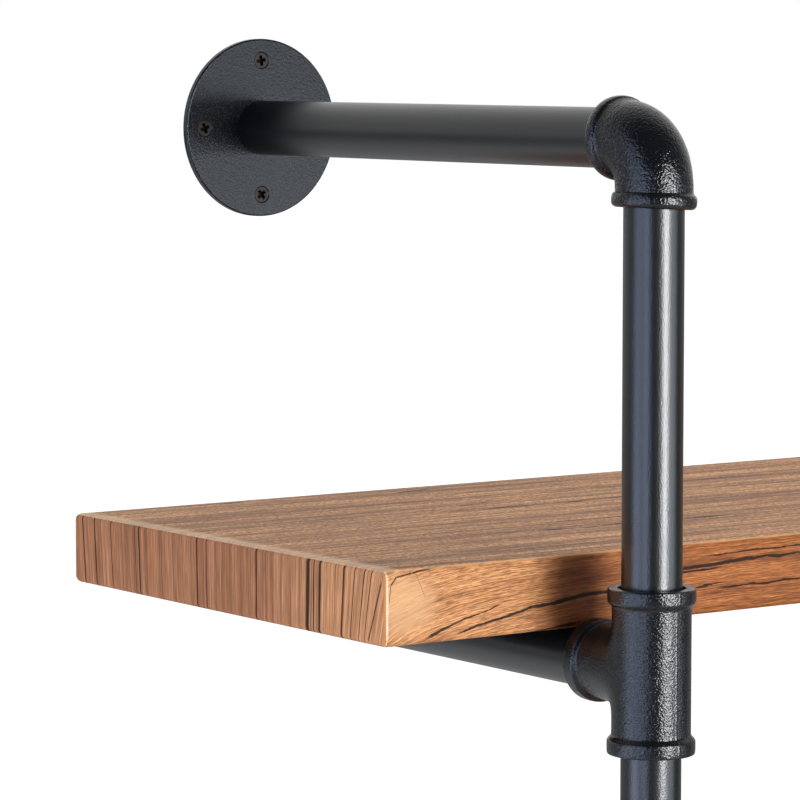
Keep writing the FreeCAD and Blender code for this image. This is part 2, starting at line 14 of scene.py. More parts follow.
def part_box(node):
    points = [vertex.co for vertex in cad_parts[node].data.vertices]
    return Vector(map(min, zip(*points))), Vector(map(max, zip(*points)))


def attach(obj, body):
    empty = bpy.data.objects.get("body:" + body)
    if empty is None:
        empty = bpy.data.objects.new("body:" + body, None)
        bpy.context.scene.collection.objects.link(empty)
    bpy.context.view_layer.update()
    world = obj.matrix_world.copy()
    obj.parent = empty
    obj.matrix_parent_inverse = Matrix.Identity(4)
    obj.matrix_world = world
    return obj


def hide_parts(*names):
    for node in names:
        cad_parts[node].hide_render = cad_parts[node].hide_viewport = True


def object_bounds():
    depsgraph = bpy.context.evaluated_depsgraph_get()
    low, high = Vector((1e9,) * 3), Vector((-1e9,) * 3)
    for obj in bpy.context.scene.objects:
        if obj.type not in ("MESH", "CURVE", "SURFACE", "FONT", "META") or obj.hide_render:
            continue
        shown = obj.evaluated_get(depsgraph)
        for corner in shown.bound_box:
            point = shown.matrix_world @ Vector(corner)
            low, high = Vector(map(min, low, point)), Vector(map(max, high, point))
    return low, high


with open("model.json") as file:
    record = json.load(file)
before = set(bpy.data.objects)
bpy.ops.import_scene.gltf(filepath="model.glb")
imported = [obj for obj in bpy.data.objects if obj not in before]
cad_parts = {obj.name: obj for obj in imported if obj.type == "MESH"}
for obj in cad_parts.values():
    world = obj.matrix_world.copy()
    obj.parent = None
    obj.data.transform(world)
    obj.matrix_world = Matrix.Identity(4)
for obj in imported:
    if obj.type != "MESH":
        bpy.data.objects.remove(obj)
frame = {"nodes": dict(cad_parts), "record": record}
nodes = frame["nodes"]
solid_box = [list(corner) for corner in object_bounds()]
scene = bpy.context.scene
scene.view_settings.view_transform = "Standard"
MM = 0.001
print(f"{len(nodes)} solids in {[round(high - low, 3) for low, high in zip(*solid_box)]} m")

# %% [markdown]
# ## Camera
# A long lens from far away keeps the uprights parallel. The camera stands to the left of the unit, a
# little above the upper shelf, and looks to the right and slightly down at the top left corner. Its place
# was worked out from the edges of the shelf and the width of the tubes.

# %% Camera
CAMERA_PLACE = (-1.4162, -1.5491, 0.4759)
LOOK_DOWN = 5.10
LOOK_RIGHT = 35.18
LENS = 175.9

bpy.ops.object.camera_add(location=CAMERA_PLACE)
camera = bpy.context.object
camera.rotation_euler = (math.radians(90 - LOOK_DOWN), 0, math.radians(-LOOK_RIGHT))
camera.data.sensor_width = 36
camera.data.lens = LENS
scene.camera = camera
print("lens", round(camera.data.lens, 1), "mm")

# %% [markdown]
# ## Shader sums
# A finish is a small sum: grain plus wear, times colour. Blender writes sums as nodes, which are slow to
# read. This class wraps the output of a node so that Python's own signs make the Math nodes, and its one
# method `node` adds any other kind of node.


# %% Shader sums
class Shade:
    """An output of a shader node that can be used in Python sums."""

    def __init__(self, tree, socket=None):
        self.tree = tree
        self.socket = socket

    def node(self, kind, settings=None, sockets=None, output=0):
        """Adds a node: its settings first, then a value or a link for each of its sockets."""
        new = self.tree.nodes.new(kind)
        for name, setting in (settings or {}).items():
            if name == "stops":
                stops = new.color_ramp.elements
                while len(stops) < len(setting):
                    stops.new(1.0)
                for stop, (place, colour) in zip(stops, setting):
                    stop.position = place
                    stop.color = (*colour, 1)
            else:
                setattr(new, name, setting)
        for name, value in (sockets or {}).items():
            if isinstance(value, Shade):
                self.tree.links.new(value.socket, new.inputs[name])
            else:
                new.inputs[name].default_value = value
        return Shade(self.tree, new.outputs[output] if len(new.outputs) else None)

    def math(self, operation, *values, clamp=False):
        settings = {"operation": operation, "use_clamp": clamp}
        return self.node("ShaderNodeMath", settings, dict(enumerate(values)))

    def __add__(self, other):
        return self.math("ADD", self, other)

    def __radd__(self, other):
        return self.math("ADD", other, self)

    def __sub__(self, other):
        return self.math("SUBTRACT", self, other)

    def __rsub__(self, other):
        return self.math("SUBTRACT", other, self)

    def __mul__(self, other):
        return self.math("MULTIPLY", self, other)

    def __rmul__(self, other):
        return self.math("MULTIPLY", other, self)

    def __truediv__(self, other):
        return self.math("DIVIDE", self, other)

    def __rtruediv__(self, other):
        return self.math("DIVIDE", other, self)

    def __abs__(self):
        return self.math("ABSOLUTE", self)

    def larger(self, other):
        """The larger of two values."""
        return self.math("MAXIMUM", self, other)

    def limited(self):
        """The value, kept between 0 and 1."""
        return self.math("ADD", self, 0.0, clamp=True)

    def between(self, low, high):
        """0 below the low value, 1 above the high one, with a soft step between them."""
        return self.node("ShaderNodeMapRange", {"interpolation_type": "SMOOTHSTEP"},
                         {"Value": self, "From Min": low, "From Max": high})

    def mix(self, first, second, blend="MIX"):
        """The first colour where this is 0, the second where it is 1."""
        settings = {"data_type": "RGBA", "blend_type": blend}
        sockets = {0: self, 6: first if isinstance(first, Shade) else (*first, 1),
                   7: second if isinstance(second, Shade) else (*second, 1)}
        return self.node("ShaderNodeMix", settings, sockets, output=2)

    def noise(self, place, scale, detail=2.0, roughness=0.5):
        """Cloudy noise over a place; its grains are about 1 / scale across."""
        return self.node("ShaderNodeTexNoise", {},
                         {"Vector": place, "Scale": scale, "Detail": detail, "Roughness": roughness})

    def bump(self, height, strength, distance):
        """The surface normal, tilted as if the height stood out by the distance."""
        return self.node("ShaderNodeBump", {},
                         {"Height": height, "Strength": strength, "Distance": distance})


def new_finish(name):
    """An empty material and the start of its sums."""
    material = bpy.data.materials.new(name)
    material.use_nodes = True
    material.node_tree.nodes.clear()
    return material, Shade(material.node_tree)


def surface(shade, **sockets):
    """Ends a material with the standard surface shader."""
    named = {name.replace("_", " "): value for name, value in sockets.items()}
    bsdf = shade.node("ShaderNodeBsdfPrincipled", {}, named)
    shade.node("ShaderNodeOutputMaterial", {}, {"Surface": bsdf})


print("shader sums ready")

# %% [markdown]
# ## Soft boxes
# Dark gloss shows its surroundings more than its own colour, so the studio comes before the finishes. A
# tall soft box in front draws the white line down the uprights and throws their shadow on the boards.
# Three cool ones on the left give the blue-grey side of every tube, and one on the right lights the
# flange. Three more are fills: they light the wood, and are kept out of reflections so that the black
# stays black.

# %% Soft boxes
AIM = Vector((-0.42, -0.26, 0.34))
DAYLIGHT = (0.965, 0.98, 1.0)
PALE_BLUE = (0.80, 0.90, 1.0)
COOL_BLUE = (0.60, 0.71, 1.0)
DEEP_BLUE = (0.58, 0.70, 1.0)
WHITE = (1.0, 1.0, 1.0)
SOFT_BOXES = [("front_box", 9, 2.2, 0.34, 0.78, 1.25, 53, DAYLIGHT, True),
              ("front_fill", 6, 2.2, 0.30, 1.0, 1.2, 5, DAYLIGHT, False),
              ("left_box", -62, 2.4, 0.12, 0.95, 1.1, 10, COOL_BLUE, True),
              ("low_left_box", -104, 2.4, -0.40, 1.5, 0.60, 7.5, DEEP_BLUE, True),
              ("far_left_box", -93, 2.4, 0.70, 1.7, 2.2, 19, DEEP_BLUE, True),
              ("left_fill", -100, 2.4, 0.40, 1.2, 1.2, 24, WHITE, False),
              ("right_box", 40, 2.4, 0.04, 1.1, 1.0, 8.5, PALE_BLUE, True),
              ("high_fill", 70, 0.9, 2.30, 2.4, 2.4, 30, WHITE, False)]


def soft_box(name, angle, distance, height, width, tall, power, colour, mirrored):
    """A rectangular lamp at that compass angle round the aim, 0 being straight in front."""
    turn = math.radians(angle)
    place = AIM + Vector((math.sin(turn), -math.cos(turn), 0)) * distance
    place.z = height
    bpy.ops.object.light_add(type="AREA", location=place)
    lamp = bpy.context.object
    lamp.name = name
    lamp.data.shape = "RECTANGLE"
    lamp.data.size = width
    lamp.data.size_y = tall
    lamp.data.energy = power
    lamp.data.color = colour
    lamp.visible_glossy = mirrored
    lamp.rotation_euler = (AIM - place).to_track_quat("-Z", "Y").to_euler()


for box in SOFT_BOXES:
    soft_box(*box)
print(len(SOFT_BOXES), "soft boxes")

# %% [markdown]
# ## Surroundings
# To the camera everything round the unit is plain white. The light that the surroundings give is uneven:
# bright behind the unit and dim in front of it. So the black gloss mirrors white along its far edges,
# where the white background really stands, and stays dark where it faces the room.

# %% Surroundings
BEHIND = (0.45, 0.89, 0.0)
DIM_GLOW = 0.04
ADDED_GLOW = 0.86

world = scene.world or bpy.data.worlds.new("studio")
scene.world = world
world.use_nodes = True
world.node_tree.nodes.clear()
sky = Shade(world.node_tree)
way = sky.node("ShaderNodeTexCoord", output="Generated")
heading = sky.node("ShaderNodeVectorMath", {"operation": "DOT_PRODUCT"}, {0: way, 1: BEHIND}, output="Value")
seen = sky.node("ShaderNodeLightPath", output="Is Camera Ray")
mirrored = sky.node("ShaderNodeLightPath", output="Is Glossy Ray")
looked_through = sky.node("ShaderNodeLightPath", output="Is Transmission Ray")
glow = DIM_GLOW + ADDED_GLOW * heading.between(-0.25, 1.00)
white = (seen + (mirrored + looked_through) * heading.between(0.60, 1.00)).limited()
glow = glow + white * (1 - glow)
backdrop = sky.node("ShaderNodeBackground", {}, {"Color": (1, 1, 1, 1), "Strength": glow})
sky.node("ShaderNodeOutputWorld", {}, {"Surface": backdrop})
print("white surroundings")

# %% [markdown]
# ## Floor
# A unit that hangs on a wall needs no floor to stand on, but a pale one below the lowest arm sends soft
# light up under the shelves. It is greyer in front than behind, and part of what the camera sees of it is
# its own white glow, so it runs into the white surroundings with no line between them.

# %% Floor
FLOOR_DROP = 0.16
FLOOR_SIZE = 60

bpy.ops.object.select_all(action="DESELECT")
bpy.ops.mesh.primitive_plane_add(size=FLOOR_SIZE, location=(0, 0, solid_box[0][2] - FLOOR_DROP))
floor = bpy.context.object
floor.name = "floor"
pale_floor, shade = new_finish("pale_floor")
seen = shade.node("ShaderNodeLightPath", output="Is Camera Ray")
place = shade.node("ShaderNodeTexCoord", output="Object")
behind = shade.node("ShaderNodeSeparateXYZ", {}, {0: place}, output="Y").between(-1.2, 0.6)
lightness = shade.noise(place, 3.0) * 0.1 + behind * 0.9
pale_grey = lightness.mix((0.30, 0.30, 0.30), (0.86, 0.86, 0.86))
matt = shade.node("ShaderNodeBsdfDiffuse", {}, {"Color": pale_grey})
white = shade.node("ShaderNodeEmission", {}, {"Strength": 1.6})
covered = shade.node("ShaderNodeMixShader", {}, {0: seen * 0.62, 1: matt, 2: white})
shade.node("ShaderNodeOutputMaterial", {}, {"Surface": covered})
floor.data.materials.append(pale_floor)
print("pale floor")

# %% [markdown]
# ## Black coat on the tubes
# The tubes are powder coated: nearly black, a little blue, satin, with the fine waviness called orange
# peel. A plain glossy black would give a clean mirror line, so two noises carry the look. The fine one
# tilts the surface and breaks the highlight into grains, and a broad one makes the gloss slightly uneven.


# %% Black coat on the tubes
def tube_coat():
    material, shade = new_finish("tube_coat")
    place = shade.node("ShaderNodeTexCoord", output="Object")
    peel = shade.noise(place, 1450, detail=1)
    patches = shade.noise(place, 45, detail=3)
    colour = patches.mix((0.0007, 0.0011, 0.0019), (0.0016, 0.0022, 0.0034))
    surface(shade, Base_Color=colour, Roughness=0.26 + 0.06 * patches, IOR=1.74,
            Normal=shade.bump(peel, 0.7, 0.12 * MM))
    return material


tube_black = tube_coat()
print(tube_black.name)

# %% [markdown]
# ## Textured coat on the flanges
# The wall flanges wear a rougher coat than the tubes, with a fine pebble that sparkles in the light. The
# pebble is noise used as height. A second, finer noise is cut off sharply, so that only its peaks are
# left, and those become pale specks in the colour.


# %% Textured coat on the flanges
def flange_coat():
    material, shade = new_finish("flange_coat")
    place = shade.node("ShaderNodeTexCoord", output="Object")
    pebble = shade.noise(place, 1150, detail=2)
    patches = shade.noise(place, 30, detail=3)
    specks = shade.noise(place, 1900, detail=1).between(0.56, 0.74)
    colour = specks.mix((0.0016, 0.0024, 0.0040), (0.034, 0.042, 0.054))
    surface(shade, Base_Color=colour, Roughness=0.20 + 0.08 * patches, IOR=1.5,
            Normal=shade.bump(pebble, 0.8, 0.13 * MM))
    return material


flange_black = flange_coat()
print(flange_black.name)

# %% [markdown]
# ## Coated casting
# Elbows and tees are sand cast and coated gloss black. The grains of the mould still show through, so the
# highlight on them breaks into sparkles. Coarse and fine noise together make the grain, and the elbows,
# cast in coarser sand, get a higher and wider one than the tees.


# %% Coated casting
def casting_coat(name, grain_height, grains_per_metre, gloss):
    material, shade = new_finish(name)
    place = shade.node("ShaderNodeTexCoord", output="Object")
    coarse = shade.noise(place, 260, detail=1)
    fine = shade.noise(place, grains_per_metre, detail=1.5)
    patches = shade.noise(place, 55, detail=3)
    colour = patches.mix((0.0024, 0.0028, 0.0038), (0.0048, 0.0054, 0.0068))
    surface(shade, Base_Color=colour, Roughness=0.15 + 0.06 * patches, IOR=gloss,
            Normal=shade.bump(coarse * 0.4 + fine, 1.0, grain_height))
    return material


elbow_black = casting_coat("elbow_coat", 0.38 * MM, 980, 1.56)
tee_black = casting_coat("tee_coat", 0.27 * MM, 1250, 1.60)
print(elbow_black.name, tee_black.name)

# %% [markdown]
# ## Screw finishes
# The wall screws are phosphated, a dull brown-grey, and the walls of the punched cross are painted
# nearly black as painted shade in the recess. The bolts and shelf screws, seen only from behind or
# through the access holes, are zinc plated, and the inserts are turned steel. The end plugs of the shelf
# arms are black plastic with pale scuffs.


# %% Screw finishes
def screw_finish(name, dark, light, roughness, scratches_per_metre):
    material, shade = new_finish(name)
    place = shade.node("ShaderNodeTexCoord", output="Object")
    stain = shade.noise(place, 480, detail=4)
    scratch = shade.noise(place, scratches_per_metre, detail=2)
    surface(shade, Base_Color=stain.mix(dark, light), Roughness=roughness + 0.15 * stain, Metallic=0.85,
            Normal=shade.bump(scratch, 0.12, 0.05 * MM))
    return material


phosphate = screw_finish("phosphate", (0.022, 0.019, 0.017), (0.062, 0.053, 0.047), 0.40, 1900)
# painted shade: the walls of the cross are painted nearly black for the shade in the recess
painted_recess_shade = screw_finish("painted_recess_shade", (0.003, 0.003, 0.003), (0.008, 0.007, 0.006), 0.60, 1900)
zinc = screw_finish("zinc", (0.42, 0.43, 0.44), (0.62, 0.62, 0.60), 0.25, 1500)
turned_steel = screw_finish("turned_steel", (0.34, 0.34, 0.34), (0.50, 0.49, 0.48), 0.30, 2600)


def plug_plastic():
    material, shade = new_finish("plug_plastic")
    place = shade.node("ShaderNodeTexCoord", output="Object")
    grain = shade.noise(place, 1700, detail=2)
    scuffs = shade.noise(place, 260, detail=4).between(0.58, 0.72)
    surface(shade, Base_Color=scuffs.mix((0.012, 0.012, 0.013), (0.030, 0.030, 0.031)),
            Roughness=0.48 + 0.18 * scuffs, Normal=shade.bump(grain, 0.25, 0.06 * MM))
    return material


black_plastic = plug_plastic()
print(phosphate.name, painted_recess_shade.name, zinc.name, turned_steel.name, black_plastic.name)

# %% [markdown]
# ## Wood-grain foil: a map of the board
# The boards are wrapped in printed foil. On top the grain runs along the board, over the ends the same
# lines turn down and run upright, and the front has its own print: near its left end the lines curve up
# out of the lower edge and then run along. Each board carries a map in metres and a number for the side
# of the board, so the finish knows how far along and across the grain every point is. `grain` is the bent
# map that the streaks follow, and in `flow`, for the fibres, the curve also fans out towards the lower
# edge.

# %% Wood-grain foil: a map of the board
TOP, FRONT, END, UNDER = 0.0, 1.0, 2.0, 3.0
CURVE_LENGTH = 45 * MM
CURVE_RISE = 30 * MM
CURVE_SLOPE = 0.015
FAN_PER_METRE = 20

foil_finish, foil = new_finish("wood_foil")
foil_map = foil.node("ShaderNodeUVMap", {"uv_map": "foil"})
along = foil.node("ShaderNodeSeparateXYZ", {}, {0: foil_map}, output="X")
across = foil.node("ShaderNodeSeparateXYZ", {}, {0: foil_map}, output="Y")
side = foil.node("ShaderNodeAttribute", {"attribute_name": "side"}, output="Fac")
rounded = foil.node("ShaderNodeAttribute", {"attribute_name": "rounded"}, output="Fac")
on_front = 1 - (abs(side - FRONT) * 2).limited()
on_end = 1 - (abs(side - END) * 2).limited()
under = (side - END).limited()
on_top = 1 - on_front - on_end - under
on_sides = on_front.larger(on_end)

bend = along / -CURVE_LENGTH
curve = CURVE_RISE * (1 - bend.math("EXPONENT", bend)) + CURVE_SLOPE * along
near_front = ((across - 0.195) / 0.05).limited()
lean = on_end * along * (0.1 - across / 1.6 - 0.22 * near_front * near_front)
stir = foil.node("ShaderNodeCombineXYZ", {}, {0: along * 28, 1: across * 60, 2: side * 5})
stir = (foil.noise(stir, 1.0) - 0.5) * (0.9 + 2.2 * on_front) * MM
grain = across - on_front * curve - lean + stir
flow = across - on_front * curve * (1 - FAN_PER_METRE * across) - lean + stir
print("map of the board,", len(foil_finish.node_tree.nodes), "nodes")

# %% [markdown]
# ## Wood-grain foil: fibres
# Wood is the same pattern at many sizes, all of it drawn out along the grain. So one helper stretches
# noise along the bent map, and each kind of mark is that noise at its own length and width: broad tones,
# bands, fibres, short dashes and flecks, and on top veins and pits.


# %% Wood-grain foil: fibres
def lines(stretch, pitch, seed, detail=2, roughness=0.5):
    """Noise drawn out along the grain: so many waves to the metre along it and across it."""
    run = along * stretch * (1 - 0.6 * on_end)
    step = flow * pitch * (1 + 0.5 * on_end)
    where = foil.node("ShaderNodeCombineXYZ", {}, {0: run, 1: step, 2: seed + side * 7})
    return foil.noise(where, 1.0, detail, roughness)


tone = lines(2.5, 60, 11.0)
band = lines(9, 420, 17.0, 3)
fibre = lines(60, 1500, 23.0, 2, 0.60)
dash = lines(170, 1400, 37.0, 2).between(0.515, 0.57)
fleck = lines(210, 2000, 83.0, 1)
pit = lines(520, 460, 43.0, 3, 0.75).between(0.47, 0.57) * on_top
vein = lines(5, 150, 113.0, 3, 0.6).between(0.50, 0.60) * on_top
hair = 1 - abs(lines(14, 480, 91.0, 1) - 0.5).between(0.0, 0.045 + 0.02 * on_end)
hair = hair * lines(9, 220, 97.0, 1).between(0.36, 0.56) * (0.40 * on_front + 0.65 * on_end)
print("fibres,", len(foil_finish.node_tree.nodes), "nodes")

# %% [markdown]
# ## Wood-grain foil: dark lines
# The print has black cracks that no noise would put in the right place, so they are listed in
# millimetres. A streak of the front lies on one level of the bent map, from a start to an end, and swells
# or tapers. The streaks of the ends cross the whole board. A few straight strokes are drawn between two
# places on a face. Small noises make every line wander and fray. On top the cracks are few and fine, and
# come from noise alone.

# %% Wood-grain foil: dark lines
FRONT_STREAKS = [(-14.6, 34, 125, 0.40, 1.00), (-9.2, 17, 60, 0.75, 0.25), (-25.5, 66, 102, 0.35, 0.60),
                 (-9.9, 150, 300, 0.75, 0.40), (-11.5, 140, 180, 0.55, 0.30), (-6.3, 168, 330, 0.30, 0.60),
                 (-21.4, 174, 290, 0.35, 0.60), (-19.1, 150, 182, 0.35, 0.30)]
END_STREAKS = [(7.4, 0.4), (17.8, 0.65), (32, 0.35), (53, 0.35), (56.4, 0.65), (105, 0.45), (113, 0.4),
               (153, 0.65), (193, 1.2), (197.6, 0.5), (202, 0.95), (220, 0.65), (228, 0.4), (235, 0.45),
               (240, 0.4)]
FRONT_STROKES = [((1.7, 19.0), (2.6, 26.5), 2.0), ((2.5, 26.0), (5.4, 29.2), 0.8),
                 ((5.0, 29.0), (13.5, 30.2), 0.5), ((12.8, 30.1), (30, 31.9), 0.55),
                 ((14.8, 30.5), (20, 19), 0.26)]
END_STROKES = [((4, 247), (31, 237), 0.7)]
STREAK_FADE = 6 * MM

wander = (lines(60, 90, 3.0, 3) - 0.5) * 2.2 * MM
ragged = (lines(170, 800, 71.0, 3, 0.7) - 0.5) * 1.5 * MM
swell = 0.60 + 1.3 * lines(70, 40, 7.0)


def front_streak(level, start, end, first, last):
    """A crack on one level of the grain, with its widths at the start and at the end."""
    width = first + (along - start * MM) / ((end - start) * MM) * (last - first)
    near = 1 - abs(grain + wander + ragged - level * MM) / (swell * width * MM)
    inside = ((along - start * MM) / STREAK_FADE).limited() * ((end * MM - along) / STREAK_FADE).limited()
    return near.between(0.0, 0.45) * inside * on_front


def end_streak(level, width):
    """A crack right across the end of the board."""
    near = 1 - abs(grain + wander * 0.35 - level * MM) / (swell * width * MM)
    return near.between(0.0, 0.6) * on_end


def stroke(first, last, width):
    """A thin line between two places on a face."""
    share = (along - first[0] * MM) / ((last[0] - first[0]) * MM)
    off = abs(across - first[1] * MM - share * (last[1] - first[1]) * MM + wander * 0.4)
    inside = (share * 12).limited() * ((1 - share) * 12).limited()
    return (1 - off / (width * MM)).between(0.0, 0.8) * inside


split = abs(lines(3.0, 50, 51.0, 3) - 0.5)
dark_line = (1 - split.between(0.002, 0.009)) * lines(5, 40, 67.0, 1).between(0.52, 0.62) * on_top
for streak in FRONT_STREAKS:
    dark_line = dark_line.larger(front_streak(*streak))
for streak in END_STREAKS:
    dark_line = dark_line.larger(end_streak(*streak))
for line in FRONT_STROKES:
    dark_line = dark_line.larger(stroke(*line) * on_front)
for line in END_STROKES:
    dark_line = dark_line.larger(stroke(*line) * on_end)
print(len(FRONT_STREAKS) + len(END_STREAKS), "streaks,", len(foil_finish.node_tree.nodes), "nodes")

# %% [markdown]
# ## Wood-grain foil: colours
# A ramp turns the sum of tone, band and fibre into browns. Tints then paint light and shade on the sides:
# the ends are painted darker and duller as painted shade, lighter and bluer towards the front corner as
# painted light, and the top and the front are painted paler as painted light. The print of the front is
# warm, with a pale knot at its left end and a darker, redder stretch further along, and a darker band at
# the start of that stretch is painted shadow of the upright. The marks are laid over that, one after
# another, the darkest last.

# %% Wood-grain foil: colours
BROWNS = [(0.38, (0.215, 0.080, 0.031)), (0.50, (0.575, 0.260, 0.104)), (0.60, (0.800, 0.420, 0.190))]
KNOT_PLACE = (9, 17)
KNOT_SIZE = (17, 13)


def tinted(colour, mask, tint):
    """The colour times the tint, where the mask is 1."""
    return mask.mix(colour, mask.mix((1, 1, 1), tint), "MULTIPLY")


knot_along = (along - KNOT_PLACE[0] * MM) / (KNOT_SIZE[0] * MM)
knot_up = (across - KNOT_PLACE[1] * MM) / (KNOT_SIZE[1] * MM)
knot = (1 - (knot_along * knot_along + knot_up * knot_up).between(0.1, 1.6)) * on_front
reddish = along.between(0.062, 0.100) * on_front
# painted shadow: a darker band where the upright's shadow falls on the front, laid over the darker print
painted_upright_shadow = reddish * (1 - along.between(0.104, 0.130))
painted_corner_light = across.between(0.15, 0.215) * on_end

depth = tone * 0.30 + band * (0.34 - 0.14 * on_front) + fibre * (0.36 + 0.14 * on_front) - 0.03 * reddish
contrast = 1 + 0.7 * on_top - 0.3 * on_end - 0.3 * (on_front - reddish)
depth = 0.50 + (depth - 0.50) * contrast
colour = foil.node("ShaderNodeValToRGB", {"stops": BROWNS}, {0: depth})
# painted shade and light: the end is painted darker and duller, lighter and bluer towards the front corner
colour = tinted(colour, on_end, painted_corner_light.mix((0.71, 0.66, 0.76), (1.08, 1.09, 1.22)))
# painted light: the top is painted paler
colour = tinted(colour, on_top, (1.17, 1.15, 1.07))
colour = tinted(colour, reddish, (0.66, 0.50, 0.36))
colour = tinted(colour, painted_upright_shadow, (0.66, 0.52, 0.40))
# painted light: the front is painted a little paler
colour = tinted(colour, on_front, (1.06, 1.05, 1.03))
speckle = fleck.between(0.30, 0.70).mix((0.80, 0.78, 0.76), (1.17, 1.18, 1.19))
colour = on_sides.mix(colour, speckle, "MULTIPLY")
colour = (knot * 0.62).mix(colour, (0.66, 0.385, 0.195))
dash_strength = 0.48 + 0.12 * on_front - 0.20 * on_end
colour = (dash * dash_strength * (1 - knot * 0.85)).mix(colour, (0.150, 0.064, 0.028))
colour = (hair * (1 - knot * 0.85)).mix(colour, (0.110, 0.046, 0.022))
colour = (vein * 0.45).mix(colour, (0.165, 0.092, 0.050))
colour = (pit * 0.70).mix(colour, (0.110, 0.072, 0.046))
colour = (dark_line * 0.94).limited().mix(colour, (0.016, 0.010, 0.008))
print("colours,", len(foil_finish.node_tree.nodes), "nodes")

# %% [markdown]
# ## Wood-grain foil: edges
# Where the foil is folded round an edge, light is painted into its colour. The top has a paler rim near
# each end, a painted sheen, and the upper edge of the front a bright lip, a painted highlight. Each upright
# corner shows an orange strip beside a nearly white, slightly glossy fold, a painted highlight. The
# underside is painted nearly black as painted shade under the board.

# %% Wood-grain foil: edges
BOARD_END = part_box("upper_shelf")[1].x

place = foil.node("ShaderNodeTexCoord", output="Object")
outward = abs(foil.node("ShaderNodeSeparateXYZ", {}, {0: place}, output="X"))
# painted sheen: a pale strip on the top near each end of the board
rim = outward.between(BOARD_END - 11 * MM, BOARD_END - 4 * MM) * (0.6 + 0.4 * fibre) * on_top
# painted highlight: a bright line along the upper edge of the front
painted_lip_highlight = across.between(0.0308, 0.0314) * on_front
orange_strip = rounded.between(0.66, 0.76)
# painted highlight: a nearly white line on each upright corner
painted_fold_highlight = rounded.between(0.20, 0.34) * (1 - rounded.between(0.64, 0.74))
painted_fold_highlight = painted_fold_highlight * (0.42 + 0.28 * fleck.between(0.35, 0.60))
# painted shade: the underside is painted nearly black for the shade under the board
painted_underside_shade = fibre.mix((0.020, 0.014, 0.010), (0.045, 0.032, 0.024))
colour = (rim * 0.7).limited().mix(colour, (0.80, 0.560, 0.370))
colour = (painted_lip_highlight * 0.5).mix(colour, (0.85, 0.50, 0.24))
colour = (orange_strip * 0.8).mix(colour, (0.58, 0.235, 0.055))
colour = painted_fold_highlight.mix(colour, (0.92, 0.76, 0.58))
colour = under.mix(colour, painted_underside_shade)
height = fibre * 0.5 - dash * 0.3 - pit * 0.6 - dark_line * 0.5
surface(foil, Base_Color=colour, Roughness=0.46 + 0.16 * fibre + 0.1 * dark_line, Specular_IOR_Level=0.14,
        Coat_Weight=painted_fold_highlight * 0.5, Coat_Roughness=0.10, Normal=foil.bump(height, 0.30, 0.10 * MM))
print(foil_finish.name, len(foil_finish.node_tree.nodes), "nodes")

# %% [markdown]
# ## Boards
# A board starts as a cube of the solid's size. A bevel modifier rounds its edges, each by its own share,
# with hardened normals so that the large faces stay flat in the light. Then every face is told which side
# of the board it is on, and every corner how far along and across the grain it lies. The print of the
# front wraps round the edges, so a face that is turned halfway still counts as front, and one under the
# lower edge hardly as underside.

# %% Boards
EDGE_ROUND = 3.6 * MM
SHARE_OF_ROUND = {"x": 1.0, "y": 0.65, "z": 0.48}
WRAP = 2.5
UNDERCUT = 0.3


def side_of(face):
    """The side of the board that a face belongs to."""
    x, y, z = (abs(part) for part in face.normal)
    is_top = face.normal.z > 0
    pull = [x, y * WRAP, z if is_top else z * UNDERCUT]
    return (END, FRONT, TOP if is_top else UNDER)[pull.index(max(pull))]


def place_on_foil(kind, point, box, shift, from_right):
    """How far along and across the grain a point of the board lies."""
    low, high = box
    if kind == FRONT:
        start = high.x - point.x if from_right else point.x - low.x
        return (start + shift, point.z - low.z)
    if kind == END:
        return (high.z - point.z, high.y - point.y)
    return (point.x + shift, point.y)


def rounded_board(name, box):
    low, high = box
    bpy.ops.object.select_all(action="DESELECT")
    bpy.ops.mesh.primitive_cube_add(size=1, location=(low + high) / 2)
    piece = bpy.context.object
    piece.name = name
    piece.scale = high - low
    bpy.ops.object.transform_apply(location=True, rotation=True, scale=True)
    mesh = piece.data
    weights = mesh.attributes.new("bevel_weight_edge", "FLOAT", "EDGE")
    for edge in mesh.edges:
        first, last = (mesh.vertices[index].co for index in edge.vertices)
        run = [abs(part) for part in last - first]
        weights.data[edge.index].value = SHARE_OF_ROUND["xyz"[run.index(max(run))]]
    rounding = piece.modifiers.new("rounding", "BEVEL")
    rounding.width = EDGE_ROUND
    rounding.segments = 6
    rounding.limit_method = "WEIGHT"
    rounding.harden_normals = True
    bpy.ops.object.modifier_apply(modifier=rounding.name)
    return piece


def wrap_in_foil(mesh, box, shift, from_right):
    mapped = mesh.uv_layers.new(name="foil")
    sides = mesh.attributes.new("side", "FLOAT", "FACE")
    roundings = mesh.attributes.new("rounded", "FLOAT", "FACE")
    for face in mesh.polygons:
        kind = side_of(face)
        sides.data[face.index].value = kind
        x, y = abs(face.normal.x), abs(face.normal.y)
        roundings.data[face.index].value = x if min(x, y) > 0.05 else 0.0
        for corner in face.loop_indices:
            point = mesh.vertices[mesh.loops[corner].vertex_index].co
            mapped.data[corner].uv = place_on_foil(kind, point, box, shift, from_right)
    mesh.materials.append(foil_finish)


for level, shift, from_right in (("upper", 0.0, False), ("lower", 0.0, True), ("bottom", 3.7, False)):
    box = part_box(f"{level}_shelf")
    piece = rounded_board(f"{level}_board", box)
    wrap_in_foil(piece.data, box, shift, from_right)
    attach(piece, "root")
    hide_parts(f"{level}_shelf")
    print(piece.name, len(piece.data.polygons), "faces")

# %% [markdown]
# ## Rings
# Elbows and tees are hollow castings with soft edges everywhere. A coarse cage of sixteen-sided rings,
# smoothed by a subdivision modifier, gives that softness. A ring is grown out of the last one by
# extruding its edges, moving them along the pipe and changing their size. Smoothing pulls a ring inwards
# a little, so the cage is drawn larger by the same share.

